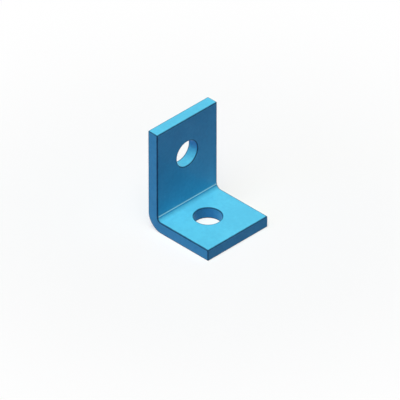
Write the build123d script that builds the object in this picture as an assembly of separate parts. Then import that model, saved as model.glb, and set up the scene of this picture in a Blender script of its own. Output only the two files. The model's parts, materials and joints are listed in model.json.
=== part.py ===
from build123d import *
import os

# Strut angle fitting: a corner angle for bolted framing, made from one length of flat steel bar.
# The bar is cropped square at both ends, punched with one bolt hole in each leg, pressed to a right
# angle and painted, so the whole fitting is a single solid.
#
# It stands as it is used. The base leg lies flat and points towards -Y, the upright leg rises at the
# back, and the width of the bar runs along X. The origin is the centre of the base leg's bolt hole, on
# the bottom seating face. All sizes are in millimetres.

# The flat bar
bar_width = 41.275  # 1 5/8 in
bar_thickness = 6.35  # 1/4 in
rolled_edge_radius = 0.5  # the bar's four long edges, left slightly round by the rolls

# The two legs, each measured over the outside of the angle
base_leg_length = 41.275  # 1 5/8 in
upright_leg_length = 57.15  # 2 1/4 in
cropped_edge_radius = 0.35  # the edges round the two cropped ends, taken off by tumbling

# The pressed bend
inner_bend_radius = 2.5  # the nose of the press tool

# The bolt holes, one in the middle of each leg's width
bolt_hole_diameter = 14.2875  # 9/16 in, clears a 1/2 in or M12 bolt
base_hole_to_end = 20.6375  # 13/16 in, hole centre to the base leg's free end
upright_hole_to_end = 20.6375  # 13/16 in, hole centre to the upright leg's free end
punch_rollover_radius = 0.5  # rim on the seating face, where the punch went in and dragged the steel down
punch_exit_radius = 0.25  # rim on the inner face, where the burr has been knocked off

# Places that follow from those sizes
outer_bend_radius = inner_bend_radius + bar_thickness
base_end_y = -base_hole_to_end
back_face_y = base_end_y + base_leg_length
upright_hole_z = upright_leg_length - upright_hole_to_end
bend_axis_y = back_face_y - outer_bend_radius
bend_axis_z = outer_bend_radius


def bent_bar():
    """The flat bar's section carried along the angle: straight, round the bend, and straight again."""
    section = RectangleRounded(bar_width, bar_thickness, rolled_edge_radius)

    # The base leg starts where the bend ends, and runs to its free end.
    base_start = Plane(origin=(0, bend_axis_y, bar_thickness / 2), x_dir=(1, 0, 0), z_dir=(0, -1, 0))
    base_leg = extrude(base_start * section, amount=base_leg_length - outer_bend_radius)

    # A quarter turn about an axis across the width takes the same section up to the vertical.
    bend_axis = Axis((0, bend_axis_y, bend_axis_z), (1, 0, 0))
    bend = revolve(base_start * section, axis=bend_axis, revolution_arc=90)

    upright_start = Plane(origin=(0, back_face_y - bar_thickness / 2, bend_axis_z), z_dir=(0, 0, 1))
    upright_leg = extrude(upright_start * section, amount=upright_leg_length - outer_bend_radius)

    return base_leg + bend + upright_leg


def break_cropped_ends(bar):
    """Round the closed outline of each free end a little."""
    base_end = bar.faces().sort_by(Axis.Y)[0]
    upright_end = bar.faces().sort_by(Axis.Z)[-1]
    return fillet(base_end.edges() + upright_end.edges(), cropped_edge_radius)


def punch_bolt_hole(bar, seat):
    """Punch one hole, from the seating face inwards.

    seat is a plane on the seating face, with its origin at the hole's centre and its normal pointing
    into the steel. The rim on the seat gets the rollover, and the rim on the inner face a small break.
    """
    punched = bar - extrude(seat * Circle(bolt_hole_diameter / 2), amount=bar_thickness)
    for depth, rim_radius in ((0, punch_rollover_radius), (bar_thickness, punch_exit_radius)):
        rim_centre = seat.from_local_coords((0, 0, depth))
        rims = punched.edges().filter_by(lambda edge: edge.is_closed)
        punched = fillet(rims.sort_by_distance(rim_centre)[0], rim_radius)
    return punched


base_seat = Plane(origin=(0, 0, 0), x_dir=(1, 0, 0), z_dir=(0, 0, 1))
upright_seat = Plane(origin=(0, back_face_y, upright_hole_z), x_dir=(1, 0, 0), z_dir=(0, -1, 0))

angle_fitting = break_cropped_ends(bent_bar())
angle_fitting = punch_bolt_hole(angle_fitting, base_seat)
angle_fitting = punch_bolt_hole(angle_fitting, upright_seat)

os.makedirs("parts", exist_ok=True)
export_step(angle_fitting, "parts/angle_fitting.step")
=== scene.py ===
# %% [markdown]
# # A strut angle fitting
#
# The real fitting is one length of flat steel bar. It is cropped to length, punched with two bolt
# holes, pressed to a right angle and powder coated blue. This lesson makes it in the same order: a
# flat blank first, then the press, then the paint, and last the floor, the lamps and the camera.
#
# The frame is the measured solid. It says how large the fitting is and where its holes are, and the
# piece made here takes its place without moving or resizing it. Blender works in metres.

# %% Load the frame
import json
import bmesh
import bpy
import numpy as np
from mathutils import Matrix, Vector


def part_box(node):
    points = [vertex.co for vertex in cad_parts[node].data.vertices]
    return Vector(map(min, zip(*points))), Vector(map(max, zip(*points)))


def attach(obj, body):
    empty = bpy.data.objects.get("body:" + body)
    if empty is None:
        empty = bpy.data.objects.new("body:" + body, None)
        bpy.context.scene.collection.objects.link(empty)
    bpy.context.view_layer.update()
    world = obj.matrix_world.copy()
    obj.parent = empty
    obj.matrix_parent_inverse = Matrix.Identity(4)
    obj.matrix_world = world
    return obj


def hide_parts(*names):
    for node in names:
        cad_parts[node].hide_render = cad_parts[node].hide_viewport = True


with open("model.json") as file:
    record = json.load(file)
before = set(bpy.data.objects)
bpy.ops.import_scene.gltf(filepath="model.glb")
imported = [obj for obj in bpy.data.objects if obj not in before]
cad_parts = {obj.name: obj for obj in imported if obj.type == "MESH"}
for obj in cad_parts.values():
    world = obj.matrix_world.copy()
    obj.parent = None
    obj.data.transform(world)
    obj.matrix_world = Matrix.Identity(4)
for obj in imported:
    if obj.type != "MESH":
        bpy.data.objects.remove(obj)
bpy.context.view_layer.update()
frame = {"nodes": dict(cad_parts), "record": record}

# %% [markdown]
# ## Measure the solid
#
# The real fitting comes in a few sizes, and a maker changes a length without drawing the rest again.
# Every size could be typed in here, but then the picture and the solid would drift apart as soon as
# one of them changed. So the sizes are read: the lengths from the solid's box, the thickness and the
# holes from the record's mounts, and the outside radius of the bend from the mesh itself, where it is
# the height at which the flat back face begins.

# %% Read the sizes
MM = 0.001
FLAT_WITHIN = 0.001 * MM  # a point this close to the back plane lies on the flat back face

mounts = {mount["name"]: mount for mount in frame["record"]["mounts"]}
solid_low, solid_high = (np.array(corner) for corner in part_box("angle_fitting"))
bar_width, base_length, upright_length = solid_high - solid_low
plate = mounts["base_washer_face"]["pos_m"][2] - mounts["base_seat"]["pos_m"][2]
hole_radius = mounts["base_bolt_hole"]["dims"]["r_mm"] * MM
base_hole_y = mounts["base_bolt_hole"]["pos_m"][1]
upright_hole_z = mounts["upright_bolt_hole"]["pos_m"][2]

solid_mesh = frame["nodes"]["angle_fitting"].data
solid_points = np.empty(3 * len(solid_mesh.vertices), np.float32)
solid_mesh.vertices.foreach_get("co", solid_points)
solid_points = solid_points.reshape(-1, 3).astype(float)
on_back_face = solid_points[:, 1] > solid_high[1] - FLAT_WITHIN
outer_bend_radius = solid_points[on_back_face, 2].min()
print(f"bar {bar_width / MM:.2f} x {plate / MM:.2f} mm, legs {base_length / MM:.2f} and "
      f"{upright_length / MM:.2f} mm, outside bend radius {outer_bend_radius / MM:.2f} mm")

# %% [markdown]
# ## The flat blank
#
# The bar is cropped and punched while it is still flat, and only then pressed. The finished angle
# could be modelled as it stands, leg by leg, but a pressed part is easiest to describe before it is
# pressed. On the flat blank each point has three plain coordinates: how far across the bar, how far
# along it, and how far through the plate, counted from the seating face. Short formulas call them
# u, s and w.
#
# The bend uses up a strip of the blank. Its length is a quarter circle through the middle of the
# plate, which is the layer that the press neither stretches nor squeezes.

# %% Lay out the blank
bend_start = base_length - outer_bend_radius
bend_strip = np.pi / 2 * (outer_bend_radius - plate / 2)
bend_end = bend_start + bend_strip
blank_length = bend_end + (upright_length - outer_bend_radius)
hole_places = (base_hole_y - solid_low[1], blank_length - (upright_length - upright_hole_z))

rolled_edge = 0.5 * MM  # the bar's long edges, as the rolls leave them
cropped_edge = 0.35 * MM  # the edges of the two cropped ends
seat_rim = 0.5 * MM  # the hole's rim where the punch went in
inner_rim = 0.25 * MM  # the hole's rim where the punch came out
border = 0.6 * MM  # a narrow flat band beside every rounded edge, so that the edge has its own faces
press_line_inside = 0.8 * MM  # from the end of the bend back to the line that the press leaves
press_line_place = bend_end - press_line_inside
press_line_reach = 2.0 * MM  # half the strip that the line takes up
print(f"blank {blank_length / MM:.2f} mm long, holes at "
      f"{hole_places[0] / MM:.2f} and {hole_places[1] / MM:.2f} mm")

# %% [markdown]
# ## The bar's section
#
# Flat bar comes from the rolls with its four long edges a little round. A rounded rectangle is a
# smaller rectangle whose outline is pushed outwards by the edge radius. That is how the section is
# kept here: core points on the smaller rectangle, and the direction in which each is pushed. Push
# less, and the same list gives a smaller section with tighter corners, as the rounded ends need.
#
# A bevel modifier on a box would round the edges too, but it can't give the rolled edges, the cropped
# ends and the two rims of each hole radii of their own.

# %% Core points and their directions
def stations(u, w, degrees):
    """Rows of a section: a core point (u across, w through) and the direction it is pushed in."""
    return np.column_stack(np.broadcast_arrays(np.atleast_1d(u), w, degrees)).astype(float)


def push(section, radius):
    """Core point plus radius times the unit direction (cosine, sine): the section's u and w."""
    u, w, turn = section[:, 0], section[:, 1], np.radians(section[:, 2])
    return u + radius * np.cos(turn), w + radius * np.sin(turn)


# %% Section of the bar
ACROSS_STEPS = 64
ROUND_STEPS = 10

corner = bar_width / 2 - rolled_edge
across = np.linspace(border - corner, corner - border, ACROSS_STEPS + 1)
quarter = np.linspace(0, 90, ROUND_STEPS + 1)
seat_row = stations(across, rolled_edge, -90)
inner_row = stations(across[::-1], plate - rolled_edge, 90)
right_side = np.vstack([
    seat_row[-1:],
    stations(corner, rolled_edge, quarter - 90),
    stations(corner, rolled_edge + border, 0),
    stations(corner, plate - rolled_edge - border, 0),
    stations(corner, plate - rolled_edge, quarter),
    inner_row[:1],
])
left_side = right_side[::-1] * (-1, 1, -1) + (0, 0, 180)
whole_section = np.vstack([seat_row, right_side[1:], inner_row[1:], left_side[1:]])
print("section has", len(whole_section), "points")

# %% [markdown]
# ## Grids along the bar
#
# The section could be drawn as a curve and swept along the bar, but a sweep leaves no room for the
# holes. So the surface is made in patches, and each is a grid: rows that step along the bar and
# columns that step round the section. The long sides run from one end to the other. The two faces are
# plain only where the bend will be, because each leg has a hole in it. Rows lie closest together
# under the fine line that the press leaves.

# %% Rows along the bar
BASE_STEPS = 48
BEND_STEPS = 32
BAND_STEPS = 24
UPRIGHT_STEPS = 64

base_along = np.linspace(cropped_edge + border, bend_start, BASE_STEPS + 1)
bend_along = np.concatenate([
    np.linspace(bend_start, press_line_place - press_line_reach, BEND_STEPS + 1),
    press_line_place + np.linspace(-press_line_reach, press_line_reach, BAND_STEPS + 1)[1:],
])
upright_along = np.linspace(bend_along[-1], blank_length - cropped_edge - border, UPRIGHT_STEPS + 1)
whole_along = np.concatenate([base_along, bend_along[1:], upright_along[1:]])
print(len(whole_along), "rows from end to end")


# %% Sides and bend
def carry(section, along, radius=rolled_edge):
    """Section pushed out by radius, set down at each place along the bar: a grid of blank points."""
    u, w = push(section, radius)
    u, s = np.meshgrid(u, along)
    w = np.broadcast_to(w, u.shape)
    return np.stack([u, s, w], axis=-1)


patches = [carry(side, whole_along) for side in (right_side, left_side)]
patches += [carry(row, bend_along) for row in (seat_row, inner_row)]
print(len(patches), "patches: two sides, and the bend outside and inside")

# %% [markdown]
# ## Cropped ends
#
# A crop leaves a flat cut, and tumbling then takes the sharpness off its edges. A cap of one large
# face would close the bar, but it shades badly beside a rounded edge. Here the section itself shrinks
# as it comes near the cut, row by row, and flat rings close the cut. They run together on a line.

# %% Cropped ends
END_RINGS = 4


def cropped_end():
    """One end of the bar: whole sections that step towards the crop, then flat rings that close it.

    Over the rounded edge the section shrinks by r(1 - cos a) while it moves r sin a nearer to the
    crop, for a from 0 to 90 degrees. On the cut face each ring lies part of the way from the outline
    to the face's middle line, and the last ring is that line.
    """
    turn = np.radians(quarter)
    shrink = np.concatenate([[0], cropped_edge * (1 - np.cos(turn))])
    to_crop = np.concatenate([[cropped_edge + border], cropped_edge * (1 - np.sin(turn))])
    rounded = [carry(whole_section, [s], rolled_edge - less) for s, less in zip(to_crop, shrink)]
    outline = rounded[-1]
    middle = outline.copy()
    middle[..., 0] = np.clip(outline[..., 0], plate / 2 - bar_width / 2, bar_width / 2 - plate / 2)
    middle[..., 2] = plate / 2
    shares = np.linspace(0, 1, END_RINGS + 1)[1:]
    return np.concatenate(rounded + [outline + share * (middle - outline) for share in shares])


base_end = cropped_end()
upright_end = base_end * (1, -1, 1) + (0, blank_length, 0)
patches += [base_end, upright_end]
print("each end is", len(base_end), "rings of points,", len(patches), "patches so far")

# %% [markdown]
# ## A face with a hole in it
#
# Each leg has one punched hole for a bolt. A boolean modifier could cut it, but it leaves long thin
# faces round the rim, which shade badly when they are rounded. A ring grid suits a round hole in a
# rectangular face better: its first row is a circle round the hole, its last row is the rectangle's
# border, and the rows between are part of the way from one to the other. The rectangle's points are
# the ones that the sides and the bend already have, so the seams close.
#
# The wall of the hole is a profile turned about the hole's axis, through the same directions. Where
# the punch went in it dragged the steel down into a soft rim, and where it came out it left a burr
# that has been knocked off, so the two rims differ.

# %% Border of a leg's face
def rectangle(along):
    """The border of one leg's face, once round: out along one edge and back along the other."""
    s_low, s_high = along[0], along[-1]
    edges = [
        (across, np.full_like(across, s_low)),
        (np.full_like(along, across[-1]), along),
        (across[::-1], np.full_like(across, s_high)),
        (np.full_like(along, across[0]), along[::-1]),
    ]
    u = np.concatenate([edge[0][:-1] for edge in edges])
    s = np.concatenate([edge[1][:-1] for edge in edges])
    return np.append(u, u[0]), np.append(s, s[0])


print("border of the base leg's face:", len(rectangle(base_along)[0]), "points")

# %% Faces of the legs
RING_STEPS = 14


def ring_face(along, place, rim, through):
    """Grid from the circle (place + radius times direction) to the rectangle, in equal shares."""
    u, s = rectangle(along)
    distance = np.hypot(u, s - place)
    radius = hole_radius + rim + border
    share = np.linspace(0, 1, RING_STEPS + 1)[:, None]
    reach = (radius + share * (distance - radius)) / distance
    u, s = u * reach, place + (s - place) * reach
    return np.stack([u, s, np.full_like(u, through)], axis=-1)


legs = list(zip((base_along, upright_along), hole_places))
for along, place in legs:
    patches.append(ring_face(along, place, seat_rim, 0))
    patches.append(ring_face(along, place, inner_rim, plate))
print(len(patches), "patches with the faces of the legs")


# %% Walls of the holes
def hole_wall(along, place):
    """Profile of the punched wall, turned about the hole's axis through the rectangle's directions."""
    turn = np.radians(quarter)
    radius = hole_radius + np.concatenate([
        [seat_rim + border], seat_rim * (1 - np.sin(turn)), [0, 0],
        inner_rim * (1 - np.cos(turn)), [inner_rim + border],
    ])
    through = np.concatenate([
        [0], seat_rim * (1 - np.cos(turn)), [seat_rim + border, plate - inner_rim - border],
        plate - inner_rim * (1 - np.sin(turn)), [plate],
    ])
    u, s = rectangle(along)
    distance = np.hypot(u, s - place)
    u = radius[:, None] * u / distance
    s = place + radius[:, None] * (s - place) / distance
    return np.stack([u, s, np.broadcast_to(through[:, None], u.shape)], axis=-1)


patches += [hole_wall(along, place) for along, place in legs]
points_so_far = sum(patch[..., 0].size for patch in patches)
print(len(patches), "patches,", points_so_far, "points before the seams close")

# %% [markdown]
# ## Sew the patches together
#
# The real bar is one closed skin of paint over one piece of steel. The patches meet along shared
# points, but a mesh doesn't know that yet. A Weld modifier could join them, but it can't turn faces
# round. So they go into one mesh, and a bmesh merges the points that lie on each other and turns every
# face outwards. Where a ring runs together into a line, its squares become triangles or vanish, so
# the surface ends up closed.

# %% One mesh
def gather(patches):
    """Number each grid's points, list the four corners of its squares, and put them in one mesh."""
    squares, first = [], 0
    for patch in patches:
        rows, columns = patch.shape[:2]
        number = first + np.arange(rows * columns).reshape(rows, columns)
        around = (number[:-1, :-1], number[1:, :-1], number[1:, 1:], number[:-1, 1:])
        squares.append(np.stack(around, axis=-1).reshape(-1, 4))
        first += rows * columns
    points = np.concatenate([patch.reshape(-1, 3) for patch in patches])
    mesh = bpy.data.meshes.new("angle_fitting_painted")
    mesh.from_pydata(points.tolist(), [], np.concatenate(squares).tolist())
    return mesh


blank_mesh = gather(patches)
print(len(blank_mesh.polygons), "squares, not sewn yet")

# %% Sew the blank
SAME_POINT = 0.0005 * MM

sewing = bmesh.new()
sewing.from_mesh(blank_mesh)
bmesh.ops.remove_doubles(sewing, verts=sewing.verts, dist=SAME_POINT)
bmesh.ops.dissolve_degenerate(sewing, edges=sewing.edges, dist=SAME_POINT)
bmesh.ops.recalc_face_normals(sewing, faces=sewing.faces)
open_edges = sum(len(edge.link_faces) != 2 for edge in sewing.edges)
sewing.to_mesh(blank_mesh)
sewing.free()
print(len(blank_mesh.vertices), "points,", len(blank_mesh.polygons), "faces,", open_edges, "open edges")

# %% [markdown]
# ## Distance to the nearest edge
#
# Powder paint pulls back from an edge as it melts, so along every edge the film is thin and the
# fitting is outlined in a much darker blue. The material needs to know how near each point is to an
# edge. A Bevel or Geometry node can find edges while it renders, but what they find depends on the
# samples or on the density of the mesh. On the flat blank it is a few plain distances: to the long
# edges, to the edges of the ends, and to the two rims of each hole. The nearest of them is kept on
# the mesh as an attribute, in millimetres, counted from where the edge's rounding stops.

# %% Edge distance
PUNCHED_MORE = 0.1 * MM  # the film pulls back a little further from the punched rims


def past_edge(blank):
    """How far each blank point is past its nearest edge's rounding, below 0 on the rounding itself.

    Each edge lies where two surfaces meet. Its distance is the hypotenuse of the distances to them,
    and the radius of its rounding is taken off. At a punched rim PUNCHED_MORE is taken off too.
    """
    u, s, w = blank.T
    to_side = bar_width / 2 - np.abs(u)
    to_end = np.minimum(s, blank_length - s)
    to_face = np.minimum(w, plate - w)
    past = np.hypot(to_side, to_face) - rolled_edge
    past = np.minimum(past, np.hypot(to_end, to_face) - cropped_edge)
    past = np.minimum(past, np.hypot(to_side, to_end) - cropped_edge)
    for place in hole_places:
        to_wall = np.hypot(u, s - place) - hole_radius
        past = np.minimum(past, np.hypot(to_wall, w) - seat_rim - PUNCHED_MORE)
        past = np.minimum(past, np.hypot(to_wall, plate - w) - inner_rim - PUNCHED_MORE)
    return past / MM


# %% Keep it on the mesh
def keep_on_mesh(name, values):
    """Store one number for each point of the blank mesh, for the material to read."""
    layer = blank_mesh.attributes.new(name, "FLOAT", "POINT")
    layer.data.foreach_set("value", values.astype(np.float32))
    print(f"{name} from {values.min():.2f} to {values.max():.2f}")


blank = np.empty(3 * len(blank_mesh.vertices), np.float32)
blank_mesh.vertices.foreach_get("co", blank)
blank = blank.reshape(-1, 3).astype(float)
keep_on_mesh("past_edge", past_edge(blank))

# %% [markdown]
# ## The press
#
# Now the blank is bent, all of it at once and by one formula. A Simple Deform modifier bends a mesh
# too, but over its whole length and to no exact radius. Here a point stays where it is up to the
# bend. Through the bend strip it turns about an axis across the bar, on a circle whose radius is the
# outside radius less its height through the plate. Past the strip it carries on straight up.
#
# The squeezed inside of a tight bend has to go somewhere, so the bar swells there by a hair at its
# two edges and draws in outside. The nose of the press tool also leaves its mark, a fine raised line
# where the bend runs out into the upright leg. Both are part of the same formula, and the line is
# kept as an attribute as well, because its paint is made a paler blue, a painted highlight.

# %% The press line
PRESS_LINE_HEIGHT = 0.36 * MM
PRESS_LINE_WIDTH = 0.7 * MM
LINE_DEPTH_POWER = 16  # high enough that the line dies out just below the inner face


def press_line(blank):
    """A bell curve along the bar, times the share of the way through the plate to a high power."""
    _, along, through = blank.T
    bell = np.exp(-((along - press_line_place) / PRESS_LINE_WIDTH) ** 2 / 2)
    return bell * (through / plate) ** LINE_DEPTH_POWER


keep_on_mesh("press_line", press_line(blank))

# %% The press
PRESS_SWELL = 0.15 * MM
DRAWN_IN = 0.5  # share of the swell by which the outside of the bend draws in
SWELL_EDGE_POWER = 5  # how closely the swell keeps to the two edges of the bar

bend_axis_y = solid_high[1] - outer_bend_radius


def press(blank):
    """(across, along, through) on the blank to (x, y, z) on the fitting.

    turn runs from 0 to a quarter circle over the bend strip. y is the axis plus radius times the sine
    of turn, z the axis less radius times its cosine, and the straight parts before and after are
    added. The swell is the square of the sine of twice the turn, strongest at the edges of the bar.
    Through the plate it runs evenly from DRAWN_IN inwards on the outside of the bend to the full
    swell on the inside.
    """
    across, along, through = blank.T
    turn = np.pi / 2 * np.clip((along - bend_start) / bend_strip, 0, 1)
    radius = outer_bend_radius - through - PRESS_LINE_HEIGHT * press_line(blank)
    y = bend_axis_y + radius * np.sin(turn) + np.minimum(along - bend_start, 0)
    z = outer_bend_radius - radius * np.cos(turn) + np.maximum(along - bend_end, 0)
    squeeze = (1 + DRAWN_IN) * through / plate - DRAWN_IN
    near_side = (2 * across / bar_width) ** SWELL_EDGE_POWER
    x = across + PRESS_SWELL * squeeze * np.sin(2 * turn) ** 2 * near_side
    return np.column_stack([x, y, z])


# %% Press the blank
fitting_points = press(blank)
blank_mesh.vertices.foreach_set("co", fitting_points.astype(np.float32).ravel())
blank_mesh.update()
blank_mesh.shade_smooth()
fitting = bpy.data.objects.new("angle_fitting_painted", blank_mesh)
bpy.context.scene.collection.objects.link(fitting)
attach(fitting, "root")
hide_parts("angle_fitting")
low, high = np.round(fitting_points.min(0) / MM, 2), np.round(fitting_points.max(0) / MM, 2)
print("pressed:", low, "to", high, "mm")

# %% [markdown]
# ## Blue powder coat
#
# The finish is a baked powder: a satin blue film, a little cloudy from one place to the next. One flat
# colour would be quicker, but a real film varies, and without that the large faces look like cut
# paper. The base colour is the colour of the fitting in full light. The sides look darker only
# because less light falls on them.
#
# All that varies is mixed from noise on the object's own coordinates or from the two attributes, so
# it stays on the fitting from whatever side it is seen. What is the same all over, the weak gloss and
# its tint, is set on the shader itself.

# %% Paint
BLUE = (0.112, 0.61, 0.86, 1)
CLOUDY_BLUE = (0.099, 0.553, 0.80, 1)
GLOSS_LEVEL = 0.25  # half the shader's usual level, because the picture shows next to no shine
GLOSS_TINT = (0.5, 0.8, 1.0, 1)

paint = bpy.data.materials.new("blue_powder_coat")
paint.use_nodes = True
paint_nodes = paint.node_tree.nodes
paint_shader = paint_nodes["Principled BSDF"]
paint_shader.inputs["Specular IOR Level"].default_value = GLOSS_LEVEL
paint_shader.inputs["Specular Tint"].default_value = GLOSS_TINT
object_place = paint_nodes.new("ShaderNodeTexCoord").outputs["Object"]
fitting.data.materials.append(paint)
print("painted", fitting.name, "with", paint.name)


# %% Helpers for nodes
def put(value, socket):
    """Give an input socket its value: another node's output, or a plain number or colour."""
    if isinstance(value, bpy.types.NodeSocket):
        socket.id_data.links.new(value, socket)
    else:
        socket.default_value = value


def remap(value, from_range, to_range):
    """Map one range of a socket's value onto another, smoothly and held at both ends."""
    node = value.id_data.nodes.new("ShaderNodeMapRange")
    node.interpolation_type = "SMOOTHSTEP"
    names = ("Value", "From Min", "From Max", "To Min", "To Max")
    for name, item in zip(names, (value, *from_range, *to_range)):
        put(item, node.inputs[name])
    return node.outputs["Result"]


# %% Helpers for mixing
def combine(operation, first, second):
    """A Math node on a socket and a second socket or number."""
    node = first.id_data.nodes.new("ShaderNodeMath")
    node.operation = operation
    put(first, node.inputs[0])
    put(second, node.inputs[1])
    return node.outputs["Value"]


def blend_colour(share, first, second):
    """Mix two colours: first where share is 0 and second where it is 1."""
    node = share.id_data.nodes.new("ShaderNodeMix")
    node.data_type = "RGBA"
    put(share, node.inputs["Factor"])
    colours = [socket for socket in node.inputs if socket.type == "RGBA"]
    put(first, colours[0])
    put(second, colours[1])
    return [socket for socket in node.outputs if socket.type == "RGBA"][0]


# %% Helpers for the paint
def noise(size, detail=2.0):
    """Cloudy noise on the object's own coordinates, with features of about the size in metres."""
    node = paint_nodes.new("ShaderNodeTexNoise")
    put(object_place, node.inputs["Vector"])
    put(1 / size, node.inputs["Scale"])
    put(detail, node.inputs["Detail"])
    return node.outputs["Fac"]


def attribute(name):
    """A number kept on the mesh's points."""
    node = paint_nodes.new("ShaderNodeAttribute")
    node.attribute_name = name
    return node.outputs["Fac"]


# %% Clouds in the blue
CLOUD_SIZE = 12 * MM
FLECK_SIZE = 1.8 * MM
CLOUD_SHARE = 0.6
CLOUD_RANGE = (0.38, 0.62)  # the values of the mixed noise that become the one blue and the other

large_clouds = combine("MULTIPLY", noise(CLOUD_SIZE), CLOUD_SHARE)
small_flecks = combine("MULTIPLY", noise(FLECK_SIZE), 1 - CLOUD_SHARE)
clouds = remap(combine("ADD", large_clouds, small_flecks), CLOUD_RANGE, (0, 1))
film_colour = blend_colour(clouds, BLUE, CLOUDY_BLUE)
print("clouds of", CLOUD_SIZE / MM, "mm and flecks of", FLECK_SIZE / MM, "mm")

# %% [markdown]
# ## The painted highlight on the press line and the thin film
#
# Two things break up the blue. On the press line the paint is made a paler blue, a painted
# highlight. Along the edges the film is thin and much darker, and the border of that band wavers a
# little, as paint does. Both could be drawn by hand as a picture wrapped round the fitting, but the
# attributes know exactly where the line and the edges are.

# %% Painted highlight on the press line and thin film
# a paler blue painted along the press line: a painted highlight
PAINTED_HIGHLIGHT_BLUE = (0.5, 0.93, 1.0, 1)
EDGE_BLUE = (0.007, 0.057, 0.136, 1)
LINE_RANGE = (0.1, 0.9)  # shares of the line's height at which the painted highlight starts and is full
NOISE_RANGE = (0.3, 0.7)  # what noise seldom leaves
WAVER_SIZE = 2.5 * MM
WAVER = (-0.05, 0.05)  # mm
FILM_RANGE = (-0.2, 0.3)  # mm past the rounding: thinnest at the first, full at the second
THINNEST_FILM = 0.95  # share of the dark blue where the film is thinnest

# painted highlight: the paint on the press line is mixed towards the paler blue
painted_highlight = remap(attribute("press_line"), LINE_RANGE, (0, 1))
film_colour = blend_colour(painted_highlight, film_colour, PAINTED_HIGHLIGHT_BLUE)
waver = remap(noise(WAVER_SIZE, detail=3.0), NOISE_RANGE, WAVER)
thin_film = remap(combine("ADD", attribute("past_edge"), waver), FILM_RANGE, (THINNEST_FILM, 0))
put(blend_colour(thin_film, film_colour, EDGE_BLUE), paint_shader.inputs["Base Color"])
print("film is full", FILM_RANGE[1], "mm past each edge")

# %% [markdown]
# ## Gloss and orange peel
#
# Baked powder never flows out quite flat. It keeps a faint orange peel, soft dimples a millimetre or
# two across, and its gloss is a little uneven. Displacement could move the surface itself, but the
# dimples are only hundredths of a millimetre deep and no outline shows them, so a Bump node is enough.

# %% Gloss and orange peel
ROUGHNESS = (0.38, 0.46)
GLOSS_SIZE = 3 * MM
PEEL_SIZE = 1.5 * MM
PEEL_DEPTH = 0.06 * MM
GRAIN_SIZE = 0.45 * MM
GRAIN_SHARE = 0.2

put(remap(noise(GLOSS_SIZE), NOISE_RANGE, ROUGHNESS), paint_shader.inputs["Roughness"])
grain = combine("MULTIPLY", noise(GRAIN_SIZE, detail=1.0), GRAIN_SHARE)
dimples = combine("ADD", noise(PEEL_SIZE, detail=1.0), grain)
peel = paint_nodes.new("ShaderNodeBump")
put(1.0, peel.inputs["Strength"])
put(PEEL_DEPTH, peel.inputs["Distance"])
put(dimples, peel.inputs["Height"])
put(peel.outputs["Normal"], paint_shader.inputs["Normal"])
print("paint has", len(paint_nodes), "nodes")

# %% [markdown]
# ## Floor
#
# The picture has a white ground. A plain white floor would do, but it would also throw a great deal
# of light up onto the sides, which are dark in the picture. So the floor is pale where it is looked
# at, directly or in a reflection, and a deep blue where it only passes light on, which leaves the
# sides dark and cool.
#
# Near the fitting the floor is a lit surface that takes the shadow. Further out it fades into plain
# white, as the world behind it is, so that no edge of the floor shows.

# %% Floor's mesh
FLOOR_HALF = 6.0

corners = FLOOR_HALF * np.array([(-1, -1, 0), (1, -1, 0), (1, 1, 0), (-1, 1, 0)])
floor_mesh = bpy.data.meshes.new("studio_floor")
floor_mesh.from_pydata(corners.tolist(), [], [(0, 1, 2, 3)])
floor = bpy.data.objects.new("studio_floor", floor_mesh)
bpy.context.scene.collection.objects.link(floor)
print("floor", 2 * FLOOR_HALF, "m square")


# %% Helpers for the studio
def looked_at(tree):
    """1 on rays from the camera, in a reflection or through glass, and 0 on rays that gather light."""
    path = tree.nodes.new("ShaderNodeLightPath")
    seen_or_mirrored = combine("MAXIMUM", path.outputs["Is Camera Ray"], path.outputs["Is Glossy Ray"])
    return combine("MAXIMUM", seen_or_mirrored, path.outputs["Is Transmission Ray"])


def coloured(tree, kind, colour):
    """A shader node of that kind with one colour."""
    node = tree.nodes.new(kind)
    put(colour, node.inputs["Color"])
    return node.outputs[0]


def either(share, first, second):
    """Mix two shaders: first where share is 0 and second where it is 1."""
    node = share.id_data.nodes.new("ShaderNodeMixShader")
    for item, socket in zip((share, first, second), node.inputs):
        put(item, socket)
    return node.outputs["Shader"]


# %% Floor's material
FLOOR_SEEN = (0.955, 0.955, 0.955, 1)
FLOOR_BOUNCE = (0.03, 0.08, 0.22, 1)
WHITE = (1, 1, 1, 1)
FADE = (0.06, 0.22)  # metres from the origin over which the lit floor fades into plain white

ground = bpy.data.materials.new("studio_white")
ground.use_nodes = True
ground.cycles.emission_sampling = "NONE"  # the white far floor is no lamp
tree = ground.node_tree
tree.nodes.remove(tree.nodes["Principled BSDF"])
far = tree.nodes.new("ShaderNodeVectorMath")
far.operation = "LENGTH"
put(tree.nodes.new("ShaderNodeTexCoord").outputs["Object"], far.inputs[0])
lit = coloured(tree, "ShaderNodeBsdfDiffuse", FLOOR_SEEN)
plain = coloured(tree, "ShaderNodeEmission", WHITE)
seen = either(remap(far.outputs["Value"], FADE, (0, 1)), lit, plain)
unseen = coloured(tree, "ShaderNodeBsdfDiffuse", FLOOR_BOUNCE)
put(either(looked_at(tree), unseen, seen), tree.nodes["Material Output"].inputs["Surface"])
floor_mesh.materials.append(ground)
print("floor fades out from", FADE[0], "to", FADE[1], "m")

# %% [markdown]
# ## World
#
# Behind the floor there is only the world. Like the floor, it is white where it is looked at and in a
# reflection. The light that it gives is weak and blue: it keeps the sides from going black, and it
# makes them look cooler than the top.

# %% World
SKY_BOUNCE = (0.027, 0.045, 0.115, 1)

world = bpy.data.worlds.new("studio_world")
bpy.context.scene.world = world
world.use_nodes = True
world.cycles.sampling_method = "NONE"  # the white behind the floor is no lamp either
sky = world.node_tree
sky.nodes.remove(sky.nodes["Background"])
weak_blue = coloured(sky, "ShaderNodeBackground", SKY_BOUNCE)
white_sky = coloured(sky, "ShaderNodeBackground", WHITE)
put(either(looked_at(sky), weak_blue, white_sky), sky.nodes["World Output"].inputs["Surface"])
print("world", world.name)

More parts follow.
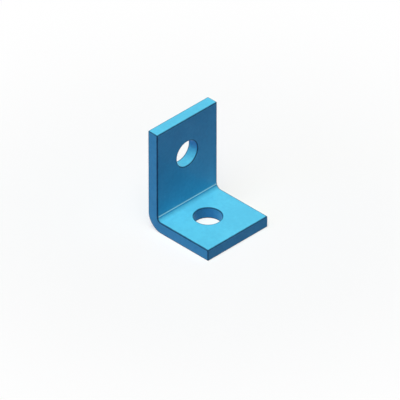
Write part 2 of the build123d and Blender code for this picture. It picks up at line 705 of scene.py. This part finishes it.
# %% [markdown]
# ## Lamps
#
# The faces that look up are bright and the upright ones are much darker, so nearly all the light
# comes from above. Area lamps would be the usual choice, but their light falls off with distance and
# would leave a wide floor uneven. A sun lamp lights the whole floor alike, and one that is 50 degrees
# wide is as soft as a large softbox.
#
# The softbox throws the shadow. A fill from above throws none, so that its light reaches into the
# holes. Together they come to pi watts per square metre. Their light is a little warm and the world's
# is blue, and on a face that looks up the two add up to white, at a strength at which a colour renders
# about as it is written. Two weak cool fills lift the left and the right side a little.

# %% Lamps
WARM_WHITE = (1.0, 0.98, 0.88)
DEEP_BLUE = (0.02, 0.11, 1.0)
COOL_WHITE = (0.5, 0.9, 1.0)


def sun(name, towards_lamp, level, angle, colour, shadow=True):
    """A sun lamp. towards_lamp points from the fitting to it. Level 1 is pi W per square metre."""
    lamp = bpy.data.lights.new(name, "SUN")
    lamp.energy = level * np.pi
    lamp.angle = np.radians(angle)
    lamp.color = colour
    lamp.use_shadow = shadow
    item = bpy.data.objects.new(name, lamp)
    item.rotation_mode = "QUATERNION"
    item.rotation_quaternion = Vector(towards_lamp).to_track_quat("Z", "Y")
    bpy.context.scene.collection.objects.link(item)
    print(f"{name}: level {level}, {angle} degrees wide")


sun("overhead_softbox", (-0.33, -0.15, 1), level=0.35, angle=50, colour=WARM_WHITE)
sun("overhead_fill", (-0.13, 0.21, 1), level=0.65, angle=5, colour=WARM_WHITE, shadow=False)
sun("left_fill", (-1, 0.1, 0.35), level=0.09, angle=40, colour=DEEP_BLUE, shadow=False)
sun("right_fill", (1, 0.2, 0.15), level=0.08, angle=40, colour=COOL_WHITE, shadow=False)

# %% [markdown]
# ## Camera
#
# The picture looks along the diagonal of a cube, as an isometric drawing does: from 45 degrees to the
# left of the front and 35.26 degrees up. A true isometric has no perspective. An orthographic camera
# would give that exactly, but its scale stays the same wherever it stands, while a lens shows the
# fitting larger when the camera comes closer for the other views. A very long lens from far away
# comes so near to isometric that the edges stay parallel to the eye.
#
# The scale and the place in the picture come from the photograph: how many pixels one millimetre
# takes, and the pixel on which the centre of the base leg's hole falls, at the seating face.

# %% Where the camera stands
PICTURE_PIXELS = 400
PIXELS_PER_MM = 2.043
ORIGIN_PIXEL = (207.9, 226.6)
LENS = 1000.0
SENSOR = 36.0

back = np.array((-1.0, -1.0, 1.0)) / np.sqrt(3)
right = np.array((1.0, -1.0, 0.0)) / np.sqrt(2)
up = np.cross(back, right)
pixel = MM / PIXELS_PER_MM
aim = right * (PICTURE_PIXELS / 2 - ORIGIN_PIXEL[0]) * pixel
aim = aim + up * (ORIGIN_PIXEL[1] - PICTURE_PIXELS / 2) * pixel
distance = PICTURE_PIXELS * pixel * LENS / SENSOR
print(f"camera {distance:.2f} m away, aimed at {np.round(aim / MM, 1)} mm")

# %% Camera
NEAREST_SEEN = 0.1  # metres
FARTHEST_SEEN = 4  # times the camera's distance

view = bpy.data.cameras.new("photo_view")
view.lens = LENS
view.sensor_width = SENSOR
view.clip_start = NEAREST_SEEN
view.clip_end = FARTHEST_SEEN * distance
camera = bpy.data.objects.new("photo_view", view)
camera.location = aim + back * distance
camera.rotation_mode = "QUATERNION"
camera.rotation_quaternion = Vector(back).to_track_quat("Z", "Y")
bpy.context.scene.collection.objects.link(camera)
bpy.context.scene.camera = camera
print(camera.name, "with a lens of", LENS, "mm")

# %% [markdown]
# ## Finish
#
# The Standard view transform shows colours as they are mixed.

# %% Finish
bpy.context.scene.view_settings.view_transform = "Standard"
